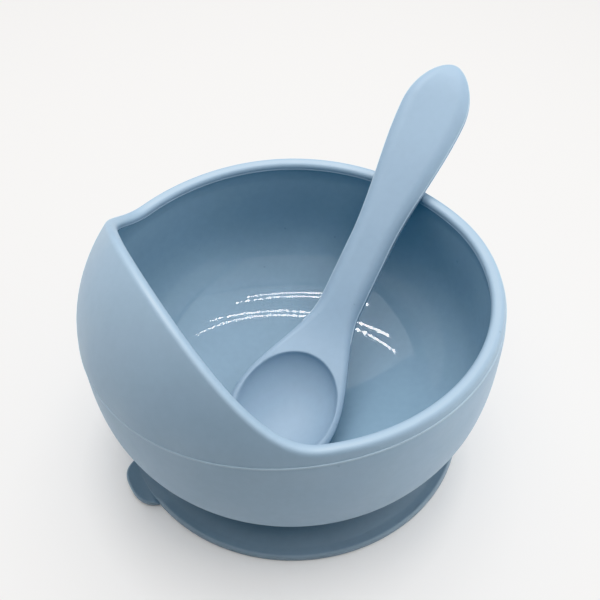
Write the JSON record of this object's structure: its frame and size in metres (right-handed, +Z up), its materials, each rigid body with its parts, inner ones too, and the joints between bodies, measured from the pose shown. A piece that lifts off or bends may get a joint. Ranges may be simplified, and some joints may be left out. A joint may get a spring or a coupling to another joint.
{
  "type": "suction feeding bowl with spoon",
  "caption": "Silicone baby feeding bowl with a raised hood on one side of its rim, standing on a wide suction foot with a pull tab, and a matching spoon leaning across it.",
  "frame": {"origin": "on the table surface, on the axis of the round bowl and its suction foot", "axes": "+Z up along the bowl's axis; the hood of the rim and the pull tab lie towards -X, and the spoon's handle leans out towards +X; the bowl without its spoon is the same on both sides of the XZ plane"},
  "size_m": [0.1453, 0.125, 0.0932],
  "materials": {
    "bowl_silicone": "soft matte outside, polished inside",
    "foot_silicone": "soft matte",
    "spoon_silicone": "soft matte"
  },
  "bodies": {
    "foot": {"suction_foot": "foot_silicone"},
    "tab": {"pull_tab": "foot_silicone"},
    "bowl": {"bowl": "bowl_silicone"},
    "spoon": {"spoon": "spoon_silicone"}
  },
  "joints": [
    {"name": "press", "type": "slide", "parent": "foot", "child": "bowl", "axis": [0, 0, -1], "range_m": [0, 0.003], "stiffness_N_per_m": 4000, "springref_m": -0.0008, "deforming": ["suction_foot"]},
    {"name": "tab_lift", "type": "hinge", "parent": "foot", "child": "tab", "pos_m": [-0.05445, 0, 0.0022], "axis": [0, 1, 0], "range_deg": [0, 60], "stiffness_Nm_per_rad": 0.02},
    {"name": "spoon_lift", "type": "slide", "parent": "bowl", "child": "spoon", "axis": [0, 0, 1], "range_m": [0, 0.09]}
  ]
}
